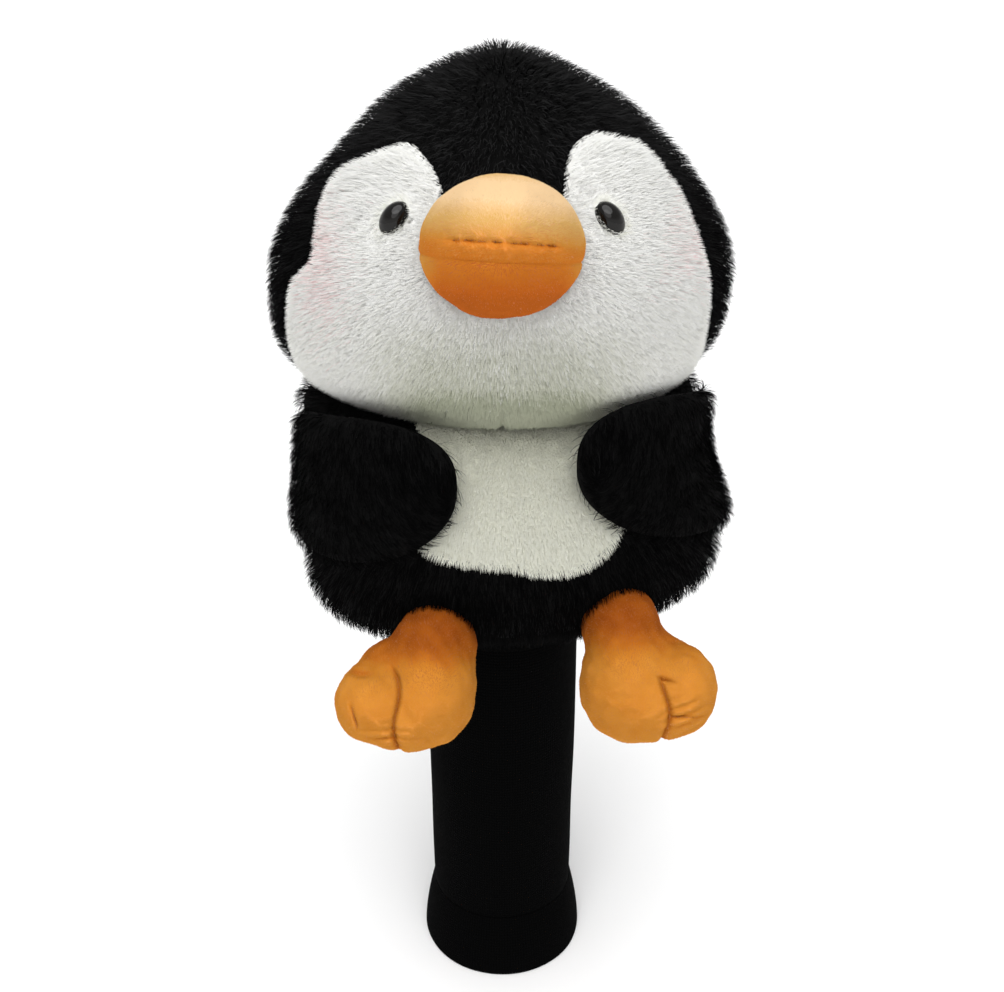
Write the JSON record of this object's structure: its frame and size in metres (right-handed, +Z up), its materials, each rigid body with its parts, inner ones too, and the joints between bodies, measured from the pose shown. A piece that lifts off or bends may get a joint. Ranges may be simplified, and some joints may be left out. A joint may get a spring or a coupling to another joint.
{
  "type": "golf driver head cover",
  "caption": "Plush penguin head cover for a golf driver: a padded pouch on a long knitted sock with a flared cuff, soft wings, feet, beak and stud eyes.",
  "frame": {"origin": "middle of the sock's mouth, on the surface that the cuff stands on", "axes": "+Z up along the sock towards the head, -Y towards the front of the face, +X towards the penguin's left wing, which is on the right when it is seen from the front"},
  "size_m": [0.1741, 0.1892, 0.4002],
  "materials": {
    "black_fur": "matte",
    "white_fur": "matte",
    "bib_plush": "matte",
    "orange_velboa": "matte",
    "dark_orange_velboa": "matte",
    "sock_knit": "matte",
    "pouch_fleece": "matte",
    "fibre_filling": "matte",
    "eye_gloss": "gloss",
    "washer_plastic": "satin",
    "elastic": "matte",
    "thread": "matte"
  },
  "bodies": {
    "cover": {"crown_gusset": "black_fur", "head_side_left": "black_fur", "head_side_right": "black_fur", "body_front": "black_fur", "body_back_left": "black_fur", "body_back_right": "black_fur", "face_left": "white_fur", "face_right": "white_fur", "belly_bib": "bib_plush", "beak_upper": "orange_velboa", "beak_lower": "dark_orange_velboa", "sock_outer": "sock_knit", "sock_lining": "sock_knit", "sock_cuff": "sock_knit", "pouch_lining": "pouch_fleece", "head_stuffing": "fibre_filling", "body_stuffing": "fibre_filling", "beak_stuffing": "fibre_filling", "eye_left": "eye_gloss", "eye_right": "eye_gloss", "eye_washer_left": "washer_plastic", "eye_washer_right": "washer_plastic", "neck_elastic": "elastic", "cuff_elastic": "elastic", "mouth_stitch": "thread"},
    "wing_left": {"wing_left_outer": "black_fur", "wing_left_inner": "black_fur", "wing_left_stuffing": "fibre_filling"},
    "foot_left": {"foot_left_upper": "orange_velboa", "foot_left_sole": "dark_orange_velboa", "foot_left_stuffing": "fibre_filling", "toe_stitch_left_1": "thread", "toe_stitch_left_2": "thread"},
    "wing_right": {"wing_right_outer": "black_fur", "wing_right_inner": "black_fur", "wing_right_stuffing": "fibre_filling"},
    "foot_right": {"foot_right_upper": "orange_velboa", "foot_right_sole": "dark_orange_velboa", "foot_right_stuffing": "fibre_filling", "toe_stitch_right_1": "thread", "toe_stitch_right_2": "thread"}
  },
  "joints": [
    {"name": "wing_left_swing", "type": "hinge", "parent": "cover", "child": "wing_left", "pos_m": [-0.07905, 0.01492, 0.24], "axis": [0, 0, -1], "range_deg": [0, 80]},
    {"name": "wing_right_swing", "type": "hinge", "parent": "cover", "child": "wing_right", "pos_m": [0.07703, 0.03408, 0.24], "axis": [0, 0, 1], "range_deg": [0, 80]},
    {"name": "foot_left_lift", "type": "hinge", "parent": "cover", "child": "foot_left", "pos_m": [-0.03539, -0.05245, 0.2035], "axis": [-0.9925, -0.1219, 0], "range_deg": [0, 30]},
    {"name": "foot_right_lift", "type": "hinge", "parent": "cover", "child": "foot_right", "pos_m": [0.05096, -0.04184, 0.2035], "axis": [-0.9925, -0.1219, 0], "range_deg": [0, 30]}
  ]
}
